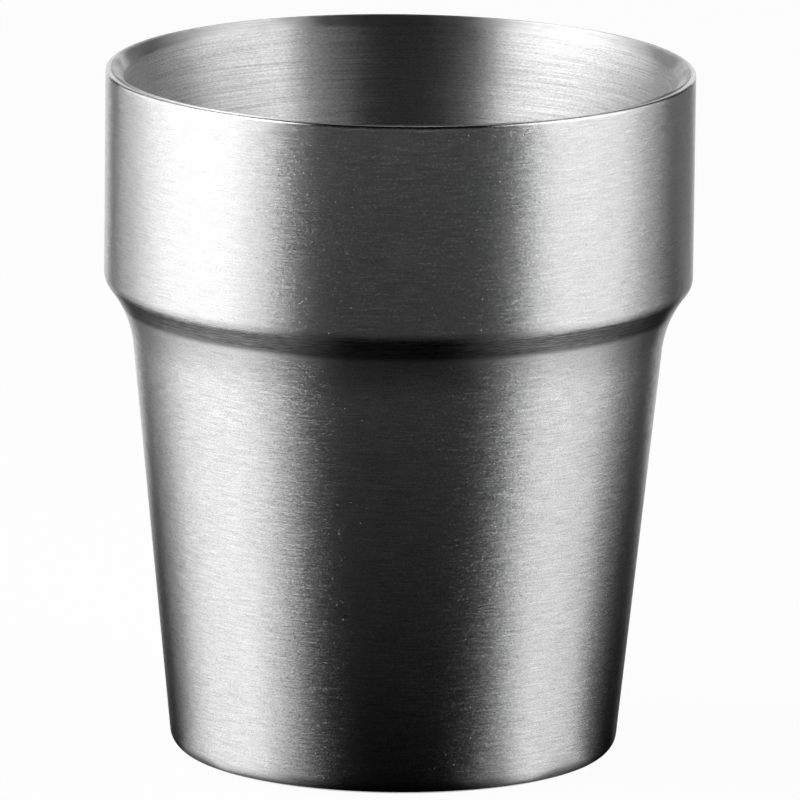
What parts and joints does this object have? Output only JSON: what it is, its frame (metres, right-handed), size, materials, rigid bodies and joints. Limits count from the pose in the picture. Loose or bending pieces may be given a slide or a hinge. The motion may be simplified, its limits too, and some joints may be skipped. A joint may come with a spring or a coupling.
{
  "type": "double-walled cup",
  "caption": "Handleless double-walled steel drinking cup with a straight collar, a stepped shoulder and a tapered body, closed by a recessed base.",
  "frame": {"origin": "centre of the flat plane that the foot ring stands on", "axes": "+Z along the cup's axis, out of the mouth; X and Y level, with the getter inside the base at +X"},
  "size_m": [0.08, 0.08, 0.094],
  "materials": {
    "shell_steel": "fine brushing round the axis",
    "liner_steel": "coarser brushing round the axis",
    "lip_weld_steel": "ground flat and polished",
    "base_plate_steel": "mill finish",
    "base_weld_steel": "as welded",
    "seal_glass": "opaque solder glass",
    "holder_steel": "pressed sheet",
    "getter_alloy": "sintered and porous",
    "copper_foil": "bright rolled foil",
    "cover_adhesive": "cured adhesive",
    "cover_steel": "fine brushing round the axis"
  },
  "bodies": {
    "root": {"outer_shell": "shell_steel", "inner_liner": "liner_steel", "rim_weld_bead": "lip_weld_steel", "base_plate": "base_plate_steel", "base_weld_bead": "base_weld_steel", "seal_bead": "seal_glass", "getter_holder": "holder_steel", "getter_pellet": "getter_alloy", "foil_wrap": "copper_foil", "cover_bond_ring": "cover_adhesive", "base_cover": "cover_steel"}
  },
  "joints": []
}
